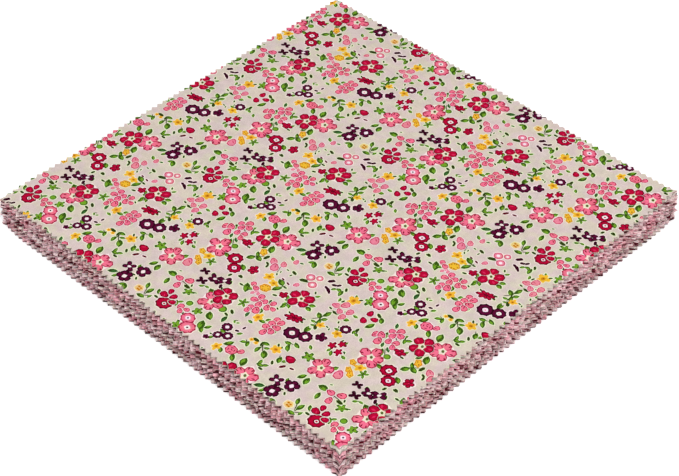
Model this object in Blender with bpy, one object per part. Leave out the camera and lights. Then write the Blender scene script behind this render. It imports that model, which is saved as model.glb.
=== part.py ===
"""A neat pile of pre-cut cotton squares with pinked edges, lying flat.

Forty squares are stacked in eight layers of five. Each layer is one solid: its
squares lie so close together that they act as a single pinked sheet. +Z is up,
the sides run along X and Y, and the origin is under the middle of the pile.
"""
import math
from collections import namedtuple

import bmesh
import bpy
from mathutils import Color, Vector

# Driving dimensions, in metres
SIDE = 0.254             # ten inch squares, measured over the points of their teeth
TEETH_PER_SIDE = 61      # whole teeth between the two corner points of a side
TOOTH_DEPTH = 0.0020     # from a tooth's point to the notch beside it
CORNER_REACH = 0.0033    # from a corner point to the first notch, along the side
CORNER_NOTCH = 0.0011    # depth of that first notch
LAYER = 0.0019           # thickness of five squares lying together
AIR = 0.0003             # gap between one layer and the next
MM = 0.001

# How each layer lies in the pile, the bottom one first: how far it has slid and turned,
# and how far its corners are from a right angle
Layer = namedtuple("Layer", "name slide_x_mm slide_y_mm turn_deg skew_deg cloth")
LAYERS = (
    Layer("squares_01", 1.2, -1.6, 0.05, 0.55, "rose_cotton"),
    Layer("squares_02", 0.6, -0.9, 0.15, 0.45, "mauve_cotton"),
    Layer("squares_03", 1.2, -0.5, -0.15, 0.45, "pink_cotton"),
    Layer("squares_04", 0.4, -1.5, 0.08, 0.35, "grey_cotton"),
    Layer("squares_05", 0.9, -0.1, -0.18, 0.30, "rose_cotton"),
    Layer("squares_06", 0.3, -0.5, 0.12, 0.20, "crimson_cotton"),
    Layer("squares_07", 0.6, -0.3, -0.10, 0.10, "mauve_cotton"),
    Layer("squares_08", 0.0, 0.0, 0.00, 0.00, "floral_cotton"),
)

# Base colour of each cloth, as red, green and blue from 0 to 255
CLOTHS = {
    "floral_cotton": (220, 210, 199),
    "rose_cotton": (186, 138, 142),
    "mauve_cotton": (170, 134, 146),
    "pink_cotton": (205, 158, 164),
    "grey_cotton": (186, 172, 168),
    "crimson_cotton": (156, 74, 92),
}
CLOTH_ROUGHNESS = 0.9


def clear_scene():
    """Remove every object, so that the script can run twice."""
    for old in list(bpy.data.objects):
        bpy.data.objects.remove(old, do_unlink=True)


def cloth_material(name):
    """The plain material of one cloth, made once."""
    material = bpy.data.materials.get(name)
    if material is None:
        material = bpy.data.materials.new(name)
        material.use_nodes = True
        shader = material.node_tree.nodes["Principled BSDF"]
        colour = Color([channel / 255 for channel in CLOTHS[name]]).from_srgb_to_scene_linear()
        shader.inputs["Base Color"].default_value = (*colour, 1)
        shader.inputs["Roughness"].default_value = CLOTH_ROUGHNESS
        shader.inputs["Metallic"].default_value = 0
        material.diffuse_color = (*colour, 1)
    return material


def pinked_side():
    """One side's outline as (distance along it, depth in from it), corner point first."""
    pitch = (SIDE - 2 * CORNER_REACH) / TEETH_PER_SIDE
    points = [(0, 0), (CORNER_REACH, CORNER_NOTCH)]
    for tooth in range(TEETH_PER_SIDE):
        tooth_start = CORNER_REACH + tooth * pitch
        points.append((tooth_start + pitch / 2, 0))
        points.append((tooth_start + pitch, TOOTH_DEPTH))
    points[-1] = (SIDE - CORNER_REACH, CORNER_NOTCH)
    return points


def pinked_outline(skew):
    """The outline, anticlockwise from the corner at -X and -Y, pulled out of square by skew."""
    outline = []
    for quarter in range(4):
        cosine = round(math.cos(quarter * math.pi / 2))
        sine = round(math.sin(quarter * math.pi / 2))
        for along, depth in pinked_side():
            across = along - SIDE / 2
            inward = depth - SIDE / 2
            x = across * cosine - inward * sine
            y = across * sine + inward * cosine
            outline.append(Vector((x + skew * y, y + skew * x, 0)))
    return outline


def pinked_layer(layer, height, pile):
    """A closed pinked sheet, its underside at the given height."""
    mesh = bpy.data.meshes.new(layer.name)
    form = bmesh.new()
    skew = math.tan(math.radians(layer.skew_deg))
    underside = form.faces.new([form.verts.new(point) for point in pinked_outline(skew)])
    raised = bmesh.ops.extrude_face_region(form, geom=[underside])
    upper_points = [item for item in raised["geom"] if isinstance(item, bmesh.types.BMVert)]
    bmesh.ops.translate(form, verts=upper_points, vec=(0, 0, LAYER))
    bmesh.ops.recalc_face_normals(form, faces=form.faces)
    form.to_mesh(mesh)
    form.free()
    mesh.materials.append(cloth_material(layer.cloth))
    sheet = bpy.data.objects.new(layer.name, mesh)
    sheet.location = (layer.slide_x_mm * MM, layer.slide_y_mm * MM, height)
    sheet.rotation_euler.z = math.radians(layer.turn_deg)
    sheet.parent = pile
    bpy.context.collection.objects.link(sheet)
    return sheet


def centre_pile(pile, sheets):
    """Move the pile so that the middle of its outline is over the origin."""
    bpy.context.view_layer.update()
    points = [sheet.matrix_world @ vertex.co for sheet in sheets for vertex in sheet.data.vertices]
    for axis in range(2):
        lowest = min(point[axis] for point in points)
        highest = max(point[axis] for point in points)
        pile.location[axis] = -(lowest + highest) / 2


def main():
    clear_scene()
    pile = bpy.data.objects.new("pile", None)
    bpy.context.collection.objects.link(pile)
    sheets = []
    for number, layer in enumerate(LAYERS):
        sheets.append(pinked_layer(layer, number * (LAYER + AIR), pile))
    centre_pile(pile, sheets)


main()
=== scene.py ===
"""Looks of a neat pile of forty pinked cotton squares, the top one printed with small flowers.

Seen from above with +X to the right and +Y up, the corners are left (-X -Y), front (+X -Y),
right (+X +Y) and far (-X +Y), as the camera sees them. Sizes are in millimetres unless a
name says otherwise.
"""

import math
import random
from collections import namedtuple

import bpy
import numpy as np
from mathutils import Color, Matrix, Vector
from mathutils.bvhtree import BVHTree
from mathutils.geometry import delaunay_2d_cdt


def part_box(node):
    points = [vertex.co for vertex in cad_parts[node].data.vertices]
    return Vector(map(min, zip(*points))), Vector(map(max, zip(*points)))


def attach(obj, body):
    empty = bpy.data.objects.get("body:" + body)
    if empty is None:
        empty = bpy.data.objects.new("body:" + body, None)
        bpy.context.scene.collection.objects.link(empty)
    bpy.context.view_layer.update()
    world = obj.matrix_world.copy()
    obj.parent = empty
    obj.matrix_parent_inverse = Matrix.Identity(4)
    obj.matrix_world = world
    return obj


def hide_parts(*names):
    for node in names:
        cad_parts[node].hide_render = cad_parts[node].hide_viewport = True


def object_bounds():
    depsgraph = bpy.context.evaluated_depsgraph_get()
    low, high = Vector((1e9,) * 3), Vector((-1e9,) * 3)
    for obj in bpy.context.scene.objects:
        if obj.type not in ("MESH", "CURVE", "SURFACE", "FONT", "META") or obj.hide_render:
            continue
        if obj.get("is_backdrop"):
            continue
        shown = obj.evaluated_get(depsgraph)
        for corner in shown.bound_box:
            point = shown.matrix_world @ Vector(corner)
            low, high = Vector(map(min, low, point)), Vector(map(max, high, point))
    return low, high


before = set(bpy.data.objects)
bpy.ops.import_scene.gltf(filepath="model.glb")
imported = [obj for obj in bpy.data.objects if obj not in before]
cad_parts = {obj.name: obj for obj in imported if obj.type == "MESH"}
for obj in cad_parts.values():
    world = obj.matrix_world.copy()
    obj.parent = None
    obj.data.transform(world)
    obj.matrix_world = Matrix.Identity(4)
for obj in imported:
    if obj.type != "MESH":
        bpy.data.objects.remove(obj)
cad_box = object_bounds()
MM = 0.001
PILE_SEED = 3
GAP_SEED = 11
PRINT_SEED = 7

# The pile
NODES = tuple(f"squares_{number:02d}" for number in range(1, 9))
SQUARES = 40
SQUARES_PER_NODE = SQUARES // len(NODES)
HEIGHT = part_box(NODES[-1])[1].z / MM
SIDE = 254.0
CLOTH = 0.30             # thickness of one square
TOOTH_DEPTH = 2.0
TEETH_PER_SIDE = 61      # whole teeth between the two corner teeth
CORNER_REACH = 3.3       # from a corner point to the first notch, along the side
CORNER_SLOPE = 1 / 3     # depth of that notch for each millimetre of reach
PITCH = (SIDE - 2 * CORNER_REACH) / TEETH_PER_SIDE

# Squares that were cut together lie in bundles, the bottom one first. Teeth inside a bundle
# line up; phase says how far they are shifted along each pair of sides, as a share of a tooth,
# proud how far the bundle stands out, and loose how open the gap under it is.
Bundle = namedtuple("Bundle", "squares phase_front_left phase_front_right proud loose")
BUNDLES = (
    Bundle(4, 0.03, -0.17, 0.06, 2.0),
    Bundle(7, -0.46, 0.20, -0.10, 3.0),
    Bundle(7, 0.46, -0.22, 0.10, 3.0),
    Bundle(8, 0.26, 0.40, -0.08, 3.0),
    Bundle(9, 0.34, -0.38, 0.10, 3.0),
    Bundle(4, -0.17, -0.06, -0.05, 3.0),
    Bundle(1, 0.00, 0.00, 0.00, 1.5),
)
BUNDLE_OF = [number for number, bundle in enumerate(BUNDLES) for _ in range(bundle.squares)]
RUN_LENGTH = 2           # squares of one print that lie next to each other in a bundle

# How uneven the cut is. Sizes are the spread of a random move, or the reach of a slow one.
PHASE_WANDER = 0.02      # how far a square's teeth miss its bundle's, as a share of a tooth
TOOTH_WEAR = 0.07
TOP_TOOTH_WEAR = 0.06
CORNER_SLIP = 0.1        # how far each corner of a square misses its place
BUNDLE_WANDER = 0.16     # in and out along a side, for all squares of a bundle
SQUARE_WANDER = 0.06     # and for each square on its own
BUNDLE_SLIP = 0.22       # along a side, for all squares of a bundle
WANDER_WAVES = 5
WANDER_TURNS = (1, 9)    # fewest and most waves on a side
WANDER_FADE = 12.0       # a slow move dies out over this distance from a corner

# Corners that are worn or bent: how far the tip is pulled along X and Y, and how much lower it
# lies, in the order left, front, right, far; the change dies out over the reach
Corner = namedtuple("Corner", "pull_x pull_y lower reach")
CORNERS = (
    Corner(2.2, 2.2, 2.1, 30.0),
    Corner(0.0, 0.0, 0.0, 30.0),
    Corner(-1.5, -0.7, -1.5, 26.0),
    Corner(0.0, 0.0, 0.0, 30.0),
)
TOP_PULL = 0.2           # share of the pull that is left at the top of the pile
CORNER_SIGNS = np.array([(-1, -1), (1, -1), (1, 1), (-1, 1)])
PILE_TIPS = CORNER_SIGNS * SIDE / 2
# The top square's front tip is drawn back a little, over a short reach
TUCK = (-2.2, 2.2)
TUCK_REACH = 12.0
# The cut edges are not quite straight: the direction that is inwards, and how far in the edge
# lies at five even places, for the sides front left, front right, far right and far left
Bow = namedtuple("Bow", "inwards_x inwards_y depths")
EDGE_BOWS = (
    Bow(0, 1, (0.0, 0.0, 0.0, -0.2, -0.3)),
    Bow(-1, 0, (0.0, 0.3, 0.4, 0.3, 0.0)),
    Bow(0, -1, (0.3, -0.3, -0.9, -0.6, 0.0)),
    Bow(1, 0, (0.0, 0.5, 1.1, 1.8, 1.1)),
)
BOW_REACH = 24.0         # the bow dies out over this distance from the edge

# How the squares lie on each other: flat inside, a little loose and uneven near the edges
LOOSE_REACH = 13.0
LOOSE_CELL = 4.23        # the gaps are mapped in square cells of this size
LOOSE_CELLS = 64
LAST_CELL = LOOSE_CELLS - 1.001   # just before it, so that there is always a next one
TIGHT_GAP = 0.7          # openness of a gap inside a bundle
UNEVEN = 0.9             # spread of the logarithm of the openness
# The top square lies in slight waves, crossed ones and slanted ones. Lengths are for one
# radian of a wave, and starts are in radians.
CROSSED_HEIGHT = 0.10
CROSSED_X = 23
CROSSED_Y = 31
CROSSED_START_X = 0.6
CROSSED_START_Y = 1.1
SLANTED_HEIGHT = 0.06
SLANTED_LENGTH = 17
RIPPLE_LIFT = 0.16       # keeps the lowest waves clear of the square below

# The meshes
RING_DEPTHS = (3.6, 9.0)  # straight rings of points inside a square's pinked outline
TOP_GRID = 4.2
COARSE_FROM_EDGE = 20.0  # farther in than this, every other grid point is left out
WELD = 0.001             # points of the printed outlines closer than this are joined
FINAL_WELD = 0.05        # and so are points of the finished print, to leave out slivers
PLAIN_WELD = 1e-5        # the same for the top square's underside

# Cloth colours from 0 to 255: the printed face, the raw cut edge, and the darkest and lightest
# parts of the print where the cut runs through them; these two also give the painted shade in
# the notches and the painted light on the bundles' rims
Cloth = namedtuple("Cloth", "face edge dark light")
CLOTHS = {
    "rose_cotton": Cloth((214, 180, 182), (190, 142, 147), (92, 26, 36), (238, 212, 213)),
    "mauve_cotton": Cloth((202, 180, 188), (170, 136, 148), (84, 28, 42), (228, 210, 217)),
    "pink_cotton": Cloth((226, 196, 196), (200, 158, 163), (98, 30, 42), (242, 220, 220)),
    "grey_cotton": Cloth((200, 190, 184), (164, 150, 144), (78, 42, 42), (228, 214, 210)),
    "crimson_cotton": Cloth((192, 128, 140), (156, 90, 104), (92, 18, 34), (232, 196, 201)),
    "floral_cotton": Cloth((220, 208, 196), (200, 184, 176), (142, 104, 96), (228, 218, 208)),
}
# The cloth of every square in a node, the lowest square first
NODE_CLOTHS = (
    ("mauve_cotton", "rose_cotton", "grey_cotton", "pink_cotton", "rose_cotton"),
    ("mauve_cotton", "pink_cotton", "rose_cotton", "crimson_cotton", "mauve_cotton"),
    ("pink_cotton", "rose_cotton", "pink_cotton", "grey_cotton", "pink_cotton"),
    ("crimson_cotton", "rose_cotton", "pink_cotton", "mauve_cotton", "rose_cotton"),
    ("grey_cotton", "rose_cotton", "pink_cotton", "rose_cotton", "crimson_cotton"),
    ("rose_cotton", "pink_cotton", "crimson_cotton", "pink_cotton", "rose_cotton"),
    ("pink_cotton", "mauve_cotton", "rose_cotton", "pink_cotton", "rose_cotton"),
    # In the top node, the two grey squares are grey cloth that also stands for painted shade under the top
    # square.
    ("rose_cotton", "grey_cotton", "grey_cotton", "floral_cotton", "floral_cotton"),
)
# Painted light and shade on the squares: the lean pushes a row's streaks towards the dark or the
# light colour. The lowest squares of a bundle get painted shade in their notches, where shadow
# gathers, and its uppermost one is painted lighter as a lit ledge.
NOTCH_PAINTED_SHADES = (-0.23, -0.13)
RIM_PAINTED_LIGHT = 0.10
# Painted contact shade where the pile meets the floor: the lowest squares' edges are darker.
FLOOR_PAINTED_SHADES = (0.45, 0.7)   # the lowest squares' edges are darker
SHADE_SPREAD = 0.13

# Patterns in the cloths: a noise, and the part of it that is carried to a range of its own.
# Scales are in waves a metre.
Pattern = namedtuple("Pattern", "scale detail rough low high to_low to_high")
ROSY = Pattern(80, 1.0, 0.5, 0.5, 0.64, 0.0, 1.0)
MOSSY = Pattern(66, 1.0, 0.5, 0.34, 0.48, 1.0, 0.0)
SPECKLE = Pattern(900, 2.0, 0.6, 0.32, 0.68, 0.70, 1.16)
WARM = Pattern(75, 2.0, 0.5, 0.4, 0.62, 0.0, 1.0)
COOL = Pattern(120, 2.0, 0.5, 0.42, 0.58, 0.0, 1.0)
CLOUDS = Pattern(210, 3.0, 0.6, 0.3, 0.7, 0.93, 1.04)
GRAIN = Pattern(1500, 2.0, 0.6, 0.3, 0.7, 0.93, 1.05)
# Noises used as they are: scale, detail and roughness
STREAKS = (250, 1.0, 0.5)
FIBRES = (2600, 2.0, 0.7)
# Where dark and light print shows in the streaks, which the lean also pushes to give painted
# shade and light, and how the threads change the shade and the roughness of the printed face:
# from low and high, to low and high
DARK_LEVELS = (0.36, 0.43, 1.0, 0.0)
LIGHT_LEVELS = (0.52, 0.58, 0.0, 1.0)
THREAD_SHADES = (0.0, 0.9, 0.93, 1.03)
THREAD_ROUGHNESS = (0.0, 1.0, 0.95, 0.82)
# The cloths' prints come and go along the edges as rosier and greener stretches
ROSY_CAST = (1.08, 0.73, 0.82, 1.0)
MOSSY_CAST = (0.90, 1.0, 0.90, 1.0)
# The printed cloth is mottled by two pairs of faint casts
WARM_CASTS = ((0.985, 1.0, 0.985, 1.0), (1.01, 0.985, 0.99, 1.0))
COOL_CASTS = ((0.985, 1.02, 0.955, 1.0), (1.0, 0.965, 1.035, 1.0))
LAYER_STEP_M = 0.037     # how far the patterns move on from one bundle to the next
SQUARE_STEP = 0.13       # and from one square to the next, as a share of that
SQUARE_STEPS = 3         # squares in a row that have places of their own
RUN_STEP_M = 0.053       # the same for streaks, from one run to the next
THREAD_PITCH_M = 0.00042
THREAD_UNEVENNESS = {"Distortion": 1.2, "Detail": 1.0, "Detail Scale": 0.4}
WAVE_TURN = math.tau / 20   # a wave texture of scale 1 repeats over this length
Bump = namedtuple("Bump", "strength distance")
FACE_BUMP = Bump(0.6, 0.00012)
CUT_BUMP = Bump(0.6, 0.00025)
PRINT_BUMP = Bump(0.5, 0.0001)
# Sockets of a mix of colours
MIX_SHARE = 0
MIX_FIRST = 6
MIX_SECOND = 7
MIX_RESULT = 2
COTTON = {
    "Roughness": 0.9,
    "Specular IOR Level": 0.03,
    "Sheen Weight": 0.01,
    "Sheen Roughness": 0.5,
}

# Camera, floor and light. The camera's place and aim are from the middle of the top square's
# upper face.
CAMERA_FROM_TOP_M = Vector((0.50386, -0.50903, 0.61985))
CAMERA_AIM_RIGHT_M = 0.00091
CAMERA_AIM_UP_M = -0.02315
LENS = 95.24
SENSOR = 36.0
AZIMUTH = 44.635
ELEVATION = 42.274
FLOOR_SIZE_M = 8.0
FLOOR_DROP_M = 0.0002
FLOOR = {
    "Base Color": (0.94, 0.94, 0.94, 1),
    "Roughness": 1.0,
    "Specular IOR Level": 0.0,
    "Emission Color": (1, 1, 1, 1),
    "Emission Strength": 0.3,
}
# Soft boxes: place and size in metres, power in watts
Softbox = namedtuple("Softbox", "name place size power")
SOFTBOXES = (
    Softbox("key_light", (1.35, -0.35, 1.5), 1.2, 20.4),
    Softbox("front_light", (-0.3, -1.3, 1.7), 1.2, 6.2),
)
WORLD_STRENGTH = 0.6

# The print, in millimetres from the middle of the top square. Each motif is charted once, and
# the two steps carry it to every other place: one repeat along the side, or one half-drop row.
REPEAT_STEPS = ((110.5, -2.7), (53.6, -80.6))
REPEAT_REACH = 4
# The printed cloth is a little out of true: how far it is shifted along X and along Y, in
# millimetres, for x, y, x squared, x times y and y squared in units of 100 mm
DRIFT_X = (-0.04, -0.06, -0.76, 0.65, 0.17)
DRIFT_Y = (0.0, 0.17, 0.24, -0.22, 0.52)
DRIFT_UNIT = 100
PRINT_SHIFT = (0.20, -0.41)
PRINT_MARGIN = 8.0
HALO = 0.5               # pale rim that the dye leaves round a motif
PARTING_HALO = 0.3       # the same where it also parts a motif from the one it overlaps
PETAL_PARTING = 0.14     # pale line between the petals of an open red flower
# Motifs above these sizes are drawn in another way
EYED_ABOVE = 3.5         # plum crosses have an eye, and plum rings a dot in theirs
SMALL_EYED_ABOVE = 4.4   # red ruffled flowers have a smaller eye
SPECKED_ABOVE = 3.0      # yellow flowers are ruffled and specked, and no stars
VEINED_ABOVE = 3.9       # leaves have a dark vein
MARKED_ABOVE = 1.5       # buds have a mark

# Printing inks, as red, green and blue from 0 to 255
INKS = {
    "ground": (222, 207, 197),
    "halo_pink": (254, 234, 230),
    "halo_green": (238, 246, 206),
    "halo_yellow": (246, 234, 196),
    "straw": (238, 206, 134),
    "crimson": (188, 4, 54),
    "crimson_edge": (112, 0, 28),
    "rose": (228, 40, 92),
    "pink": (248, 118, 146),
    "pink_edge": (176, 34, 72),
    "pink_mark": (136, 10, 44),
    "blush": (240, 138, 158),
    "blush_edge": (204, 78, 108),
    "plum": (94, 8, 52),
    "plum_edge": (54, 2, 26),
    "white": (255, 238, 242),
    "cream": (244, 232, 208),
    "pistil": (92, 104, 46),
    "dot": (60, 12, 24),
    "green": (116, 166, 42),
    "green_edge": (58, 92, 16),
    "olive": (50, 66, 16),
    "teal": (62, 116, 52),
    "teal_edge": (42, 80, 34),
    "yellow": (246, 190, 54),
    "yellow_edge": (216, 140, 26),
    "yellow_mark": (150, 92, 6),
    "maroon": (92, 12, 26),
}

# Chart of one repeat: for each kind of motif, x, y, size and turn in degrees
CHART = {
    "stem": (
        (-53.2, 55.2, 7.0, -42), (-46.0, 66.8, 5.5, 14), (-44.8, 65.2, 4.0, -60), (-13.8, 39.4, 6.0, 116),
        (-12.2, 39.0, 5.5, 86), (-10.6, 37.4, 4.4, 38), (-3.4, 56.6, 9.0, -4), (-6.0, 54.6, 3.6, 60),
        (-42.0, 55.8, 6.0, -52), (-47.4, 47.0, 4.0, 84), (-26.4, 45.2, 4.4, -40), (4.8, 62.2, 5.4, 24),
        (4.2, 45.6, 4.6, 62), (25.6, 42.4, 6.4, -58), (34.2, 56.4, 2.6, 40), (35.0, 46.8, 5.0, 92),
        (56.2, 53.6, 5.6, 100), (48.6, 50.2, 3.4, -30), (33.0, 40.0, 4.6, 54), (-48.2, 18.8, 6.6, 38),
        (-24.4, 10.2, 7.0, 62), (-18.2, 21.8, 6.0, 24), (-13.6, 5.4, 7.6, 118), (-1.2, 28.6, 5.6, -30),
        (5.9, 8.6, 13.5, 98), (4.2, 7.2, 5.0, 52), (26.0, 13.6, 4.0, -70), (9.4, 17.2, 8.0, 10),
        (42.4, 24.4, 8.0, -34), (37.6, 22.4, 4.4, -62), (46.2, 27.0, 4.6, -60), (44.8, 14.0, 5.4, -50),
        (51.6, 17.2, 4.8, -28), (-34.4, 19.4, 7.0, -66), (-48.6, 24.6, 4.6, 66), (20.2, 76.2, 6.0, 8),
    ),
    "dash": (
        (-42.8, 51.6, 3.0, -50), (-49.0, 62.0, 2.4, -50), (-46.6, 61.8, 2.0, -60),
        (-20.4, 78.1, 2.4, -15), (-44.0, 44.9, 3.0, 0), (-26.8, 42.7, 2.2, 10), (-23.8, 41.6, 2.4, -50),
        (-6.8, 40.1, 3.0, 0), (-11.8, 61.1, 1.6, 30), (17.2, 75.9, 2.6, 0), (1.5, 71.6, 1.6, 60),
        (8.3, 76.7, 2.5, 80), (12.7, 80.1, 2.2, -5), (12.6, 66.8, 2.6, -45), (11.4, 41.5, 2.4, -40),
        (5.5, 55.6, 1.6, 30), (-1.0, 55.6, 4.2, 0), (0.2, 57.8, 2.2, -60), (36.8, 77.3, 3.4, -65),
        (28.3, 59.2, 3.6, -35), (27.5, 56.0, 3.0, -15), (51.0, 54.2, 4.2, 0), (32.0, 41.6, 1.8, 0),
        (42.7, 76.6, 2.0, -30), (-44.9, 20.6, 4.2, 80), (-41.4, 17.9, 2.8, -20), (-40.2, 16.4, 2.8, -75),
        (-30.5, 21.7, 1.8, 0), (-26.6, 22.5, 3.6, -15), (-26.6, 20.0, 1.9, 80), (-32.1, 18.2, 1.6, -70),
        (-32.3, 15.7, 1.9, -50), (-19.4, 22.0, 4.8, 25), (-44.1, 1.5, 3.2, 0), (-22.4, 11.8, 2.5, 0),
        (-22.1, 4.4, 2.8, 20), (-8.6, 19.7, 2.2, -50), (-8.0, 1.0, 2.0, -30), (-48.9, -1.3, 2.6, 80),
        (1.0, 31.8, 3.0, -55), (11.5, 31.6, 2.4, 50), (6.8, 30.4, 2.2, 15), (5.6, 24.9, 2.4, 75),
        (4.4, 17.3, 2.3, -10), (8.6, 16.5, 3.8, 8), (11.7, 20.5, 1.6, 60), (14.4, 12.8, 2.0, -60),
        (16.7, 10.6, 1.6, -60), (25.6, 30.0, 3.8, -25), (24.9, 15.0, 3.6, -85), (12.6, 6.7, 1.9, -10),
        (14.4, 6.1, 1.7, -70), (24.9, 5.0, 2.0, 70), (31.4, -0.4, 1.6, -30), (8.4, 2.6, 4.0, -50),
        (53.6, 16.9, 2.2, -10), (0.4, 2.6, 2.4, 15), (0.8, 0.6, 2.8, -15), (-55.4, 56.6, 3.0, -70),
    ),
    "leaf": (
        (-47.3, 79.2, 4.6, 105), (-42.4, 68.2, 4.4, -20), (-44.3, 63.9, 4.8, -52),
        (-36.8, 71.8, 3.4, -35), (-26.0, 55.3, 5.0, 62), (-11.6, 51.5, 4.8, -78), (-54.2, 58.3, 4.4, 15),
        (-51.6, 56.4, 3.4, 30), (-54.2, 52.9, 4.4, -85), (-47.3, 47.8, 3.8, 100), (-43.8, 47.9, 3.6, 40),
        (-28.9, 48.6, 3.4, -65), (-15.6, 42.5, 4.4, -62), (-12.0, 40.6, 5.0, 80), (-8.4, 43.4, 4.0, -50),
        (-29.1, 76.7, 3.0, 80), (-26.9, 75.8, 3.8, -60), (20.6, 76.2, 6.6, -55), (3.7, 61.2, 3.0, 40),
        (6.3, 62.4, 2.8, 5), (4.7, 46.3, 3.0, 45), (27.5, 43.6, 4.0, 60), (26.4, 40.3, 4.6, -42),
        (37.9, 69.6, 3.8, -60), (43.9, 64.9, 4.0, 12), (39.8, 60.8, 3.2, 175), (42.8, 81.3, 3.6, 80),
        (34.4, 55.4, 2.2, -45), (36.2, 55.8, 2.0, 45), (42.2, 51.3, 3.2, 50), (43.0, 43.3, 5.4, 58),
        (47.6, 48.7, 3.8, 30), (50.0, 49.3, 4.0, -65), (33.7, 39.9, 3.2, 70), (53.2, 63.5, 4.2, 80),
        (-33.3, 35.7, 3.8, 65), (-26.0, 34.3, 3.8, 45), (-34.8, 29.4, 3.6, -35), (-51.4, 25.6, 4.0, 70),
        (-49.8, 19.3, 4.0, -45), (-24.6, 8.3, 5.4, 60), (-16.4, 7.6, 3.4, -60), (-11.8, 3.8, 3.8, -45),
        (-13.8, 2.0, 4.0, 85), (-6.0, 18.6, 2.9, 50), (-3.9, 27.9, 3.2, 50), (0.7, 28.2, 4.4, -80),
        (8.2, 31.8, 2.8, -50), (3.4, 24.6, 3.0, -70), (17.6, 21.4, 3.2, 0), (17.2, 8.9, 3.2, 10),
        (27.0, 21.8, 5.4, 70), (31.0, 11.8, 3.2, -50), (6.4, 13.0, 5.0, 80), (4.8, 5.0, 3.2, 10),
        (6.5, 2.6, 2.6, 20), (7.4, -1.5, 4.0, 80), (27.3, 4.9, 2.8, 75), (33.0, -2.7, 3.2, -15),
        (45.3, 28.2, 3.4, 80), (48.0, 27.3, 3.8, 35), (46.6, 25.6, 3.8, -60), (37.4, 22.6, 4.4, -65),
        (43.9, 12.6, 5.4, -60), (49.8, 5.1, 4.4, -10), (52.6, 20.6, 3.0, 60), (51.6, 38.0, 5.2, -50),
        (47.3, -2.3, 2.2, -60), (-13.0, 35.0, 4.8, 8), (-9.2, 37.7, 3.0, 80), (6.9, 6.4, 4.2, -72),
    ),
    "teal_leaf": (
        (-36.4, 36.9, 5.4, 35), (-28.8, 29.9, 2.4, 20), (29.4, 53.0, 4.8, -80), (35.1, 63.4, 3.9, -75),
        (36.7, 30.8, 3.8, -60), (40.7, 16.7, 3.6, -65), (44.9, 16.0, 3.8, -35), (-22.8, 80.6, 1.8, 30),
    ),
    "broad_leaf": (
        (-46.9, 66.5, 3.8, 20), (-18.4, 70.0, 3.9, 60), (-22.1, 54.5, 4.9, -82), (-13.2, 56.8, 5.6, 4),
        (-49.6, 52.6, 5.4, -48), (-41.4, 55.3, 4.4, -70), (-39.0, 56.2, 3.0, 60), (-45.8, 46.2, 3.6, 10),
        (-52.8, 42.3, 5.8, 108), (22.4, 76.6, 3.2, 20), (12.2, 72.9, 3.6, -50), (10.9, 61.5, 5.6, -30),
        (22.6, 49.7, 5.8, -42), (3.8, 44.1, 4.2, -55), (24.2, 42.4, 6.2, -62), (45.4, 67.7, 3.0, 60),
        (34.9, 47.0, 3.8, 0), (-23.6, 33.6, 4.6, -58), (-47.2, 26.6, 5.6, -62), (-47.3, 17.3, 4.6, -15),
        (-50.9, 15.2, 4.8, 52), (-48.2, 7.0, 4.6, -35), (-26.4, 12.9, 5.2, -25), (-14.7, 6.2, 3.4, 20),
        (-3.3, 12.0, 3.8, 30), (-3.2, 9.0, 4.0, -10), (-1.7, 29.3, 3.2, 10), (15.7, 16.7, 3.6, 20),
        (28.8, 28.2, 4.2, -50), (24.6, 13.2, 3.0, -80), (26.6, 12.6, 2.8, -15), (3.9, 9.6, 4.2, -40),
        (7.8, 9.4, 3.6, 50), (43.6, 37.3, 3.8, -50),
    ),
    "jagged_leaf": (
        (-32.8, 66.6, 3.2, 160), (2.4, 53.6, 2.6, 30), (15.6, 47.5, 2.9, 80), (15.4, 33.8, 3.0, -30),
    ),
    "round_leaf": ((23.6, 57.3, 2.3, 0), (8.8, 48.6, 1.9, 40), (47.9, 12.3, 1.9, 0)),
    "sprig": ((-5.7, 76.4, 3.0, 100), (27.6, 67.6, 3.3, 115)),
    "yellow": (
        (-47.9, 59.0, 2.6, 0), (-9.9, 78.4, 2.4, 40), (9.0, 28.8, 2.9, 90), (9.3, 5.2, 1.9, 20),
        (19.5, 6.7, 2.3, 0), (40.2, 37.6, 2.2, 70), (40.2, 65.6, 2.5, 80), (-33.6, 11.8, 2.4, 30),
        (-28.7, 10.0, 2.2, 0), (-29.3, 4.7, 3.1, 15), (49.2, 52.8, 1.2, 0), (52.5, 52.6, 1.1, 0),
    ),
    "yellow_bud": (
        (-14.9, 78.8, 2.3, -30), (-12.9, 73.8, 2.3, -40), (-10.4, 72.1, 2.4, -52),
        (-48.8, 22.3, 2.7, -50),
    ),
    "pale_yellow": ((-17.5, 38.2, 2.4, 0),),
    "blush_bud": (
        (5.0, 20.6, 2.2, 20), (8.3, 23.7, 2.4, 60), (9.0, 18.9, 1.9, -30), (13.5, 21.5, 2.2, 80),
        (12.8, 16.5, 2.1, 80), (-40.5, 21.4, 2.3, -35), (-35.0, 23.2, 2.0, -50), (-37.0, 18.6, 2.7, -55),
        (-14.2, 68.3, 2.9, -75), (-19.8, 17.0, 1.6, 60), (26.1, 77.6, 1.3, 60), (28.2, 77.2, 1.2, -40),
        (25.5, 75.6, 1.1, 70), (-31.6, 28.8, 1.7, -80),
    ),
    "pink_bud": (
        (31.2, 76.4, 2.1, 100), (29.9, 73.2, 2.0, 200), (34.3, 75.2, 2.0, 40), (33.8, 72.2, 2.1, -70),
        (38.8, 77.3, 1.8, 80), (38.4, 73.5, 2.0, -60), (41.3, 74.6, 1.6, -10), (33.0, 67.9, 2.1, 160),
        (35.8, 68.4, 2.3, -62), (32.3, 65.6, 1.7, -70), (48.6, 70.4, 2.1, 110), (51.4, 70.4, 2.1, 70),
        (48.8, 67.3, 2.2, 170), (52.0, 66.7, 2.2, 10), (48.0, 64.0, 2.1, 190), (51.6, 63.2, 2.1, -30),
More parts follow.
